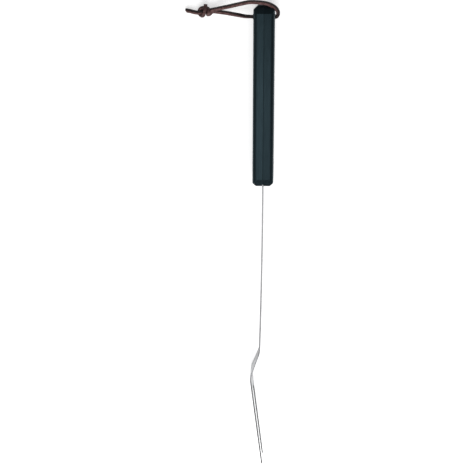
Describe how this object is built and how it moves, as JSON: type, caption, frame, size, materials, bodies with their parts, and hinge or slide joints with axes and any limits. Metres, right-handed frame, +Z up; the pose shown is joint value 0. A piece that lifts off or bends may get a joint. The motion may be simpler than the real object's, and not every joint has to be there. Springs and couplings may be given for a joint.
{
  "type": "roasting fork",
  "caption": "Long steel roasting fork with an offset head and slim tines, a dark satin square-section bar handle and a knotted leather lanyard, lying on its edge.",
  "frame": {"origin": "on the surface that the fork lies on, below the middle of the box of the fork and its handle", "axes": "+X along the handle toward the tines, +Y across the steel sheet to the side away from the head's step, +Z up along the sheet's width"},
  "size_m": [0.4651, 0.089, 0.034],
  "materials": {
    "handle": "satin blue-black moulded plastic",
    "steel": "brushed along its length, rounded cut edges",
    "eyelet": "black enamel, semi-gloss",
    "leather": "dark brown square-cut leather, waxed"
  },
  "bodies": {
    "root": {"fork": "steel", "handle_half_left": "handle", "handle_half_right": "handle", "rivet_front": "steel", "rivet_rear": "steel", "lanyard_eyelet": "eyelet", "lanyard_in_hole": "leather", "lanyard_run_right": "leather", "lanyard_run_left": "leather", "lanyard_knot": "leather"}
  },
  "joints": []
}
